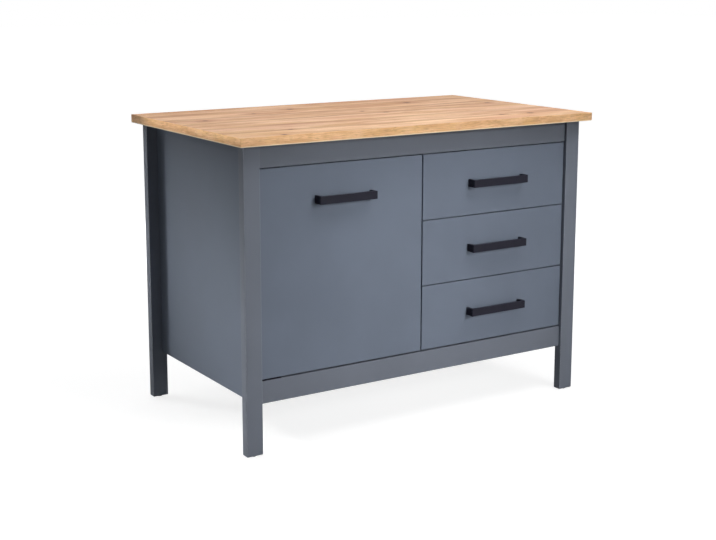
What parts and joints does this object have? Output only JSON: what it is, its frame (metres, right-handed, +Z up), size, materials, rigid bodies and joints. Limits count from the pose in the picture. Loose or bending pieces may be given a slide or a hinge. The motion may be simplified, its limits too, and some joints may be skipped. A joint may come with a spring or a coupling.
{
  "type": "kitchen island unit",
  "caption": "Free-standing kitchen island on four posts with an oak worktop, an inset hinged door with a shelf behind it, and a bank of inset drawers with bar handles.",
  "frame": {"origin": "on the floor, under the middle of the worktop", "axes": "+X to the right along the front, +Y from the front to the back, +Z up"},
  "size_m": [1.236, 0.724, 0.9],
  "materials": {
    "graphite_board": "matt graphite blue-grey coated board",
    "oak_worktop": "satin oak decor with planks and small knots",
    "drawer_board": "pale grey melamine board",
    "black_metal": "satin black",
    "zinc_steel": "zinc-plated steel",
    "dark_plastic": "matt dark plastic"
  },
  "bodies": {
    "cabinet": {"worktop": "oak_worktop", "post_front_left": "graphite_board", "glide_front_left": "dark_plastic", "post_front_right": "graphite_board", "glide_front_right": "dark_plastic", "post_rear_left": "graphite_board", "glide_rear_left": "dark_plastic", "post_rear_right": "graphite_board", "glide_rear_right": "dark_plastic", "rail_top": "graphite_board", "rail_bottom": "graphite_board", "side_panel_left": "graphite_board", "side_panel_right": "graphite_board", "back_panel": "graphite_board", "cabinet_floor": "graphite_board", "stretcher_front": "graphite_board", "stretcher_rear": "graphite_board", "divider": "graphite_board", "shelf": "graphite_board", "shelf_pin_front_left": "zinc_steel", "shelf_pin_front_right": "zinc_steel", "shelf_pin_rear_left": "zinc_steel", "shelf_pin_rear_right": "zinc_steel", "runner_bottom_left": "zinc_steel", "runner_bottom_right": "zinc_steel", "runner_middle_left": "zinc_steel", "runner_middle_right": "zinc_steel", "runner_top_left": "zinc_steel", "runner_top_right": "zinc_steel", "hinge_pin_top": "black_metal", "hinge_pin_bottom": "black_metal", "catch_magnet": "dark_plastic"},
    "door": {"door_panel": "graphite_board", "door_handle": "black_metal", "catch_strike_plate": "zinc_steel"},
    "drawer_bottom": {"drawer_bottom_front": "graphite_board", "drawer_bottom_handle": "black_metal", "drawer_bottom_side_left": "drawer_board", "drawer_bottom_side_right": "drawer_board", "drawer_bottom_back": "drawer_board", "drawer_bottom_bottom": "drawer_board", "drawer_bottom_runner_left": "zinc_steel", "drawer_bottom_runner_right": "zinc_steel"},
    "drawer_middle": {"drawer_middle_front": "graphite_board", "drawer_middle_handle": "black_metal", "drawer_middle_side_left": "drawer_board", "drawer_middle_side_right": "drawer_board", "drawer_middle_back": "drawer_board", "drawer_middle_bottom": "drawer_board", "drawer_middle_runner_left": "zinc_steel", "drawer_middle_runner_right": "zinc_steel"},
    "drawer_top": {"drawer_top_front": "graphite_board", "drawer_top_handle": "black_metal", "drawer_top_side_left": "drawer_board", "drawer_top_side_right": "drawer_board", "drawer_top_back": "drawer_board", "drawer_top_bottom": "drawer_board", "drawer_top_runner_left": "zinc_steel", "drawer_top_runner_right": "zinc_steel"}
  },
  "joints": [
    {"name": "door_swing", "type": "hinge", "parent": "cabinet", "child": "door", "pos_m": [-0.527, -0.313, 0.5], "axis": [0, 0, -1], "range_deg": [0, 105]},
    {"name": "drawer_bottom_slide", "type": "slide", "parent": "cabinet", "child": "drawer_bottom", "axis": [0, -1, 0], "range_m": [0, 0.37]},
    {"name": "drawer_middle_slide", "type": "slide", "parent": "cabinet", "child": "drawer_middle", "axis": [0, -1, 0], "range_m": [0, 0.37]},
    {"name": "drawer_top_slide", "type": "slide", "parent": "cabinet", "child": "drawer_top", "axis": [0, -1, 0], "range_m": [0, 0.37]}
  ]
}
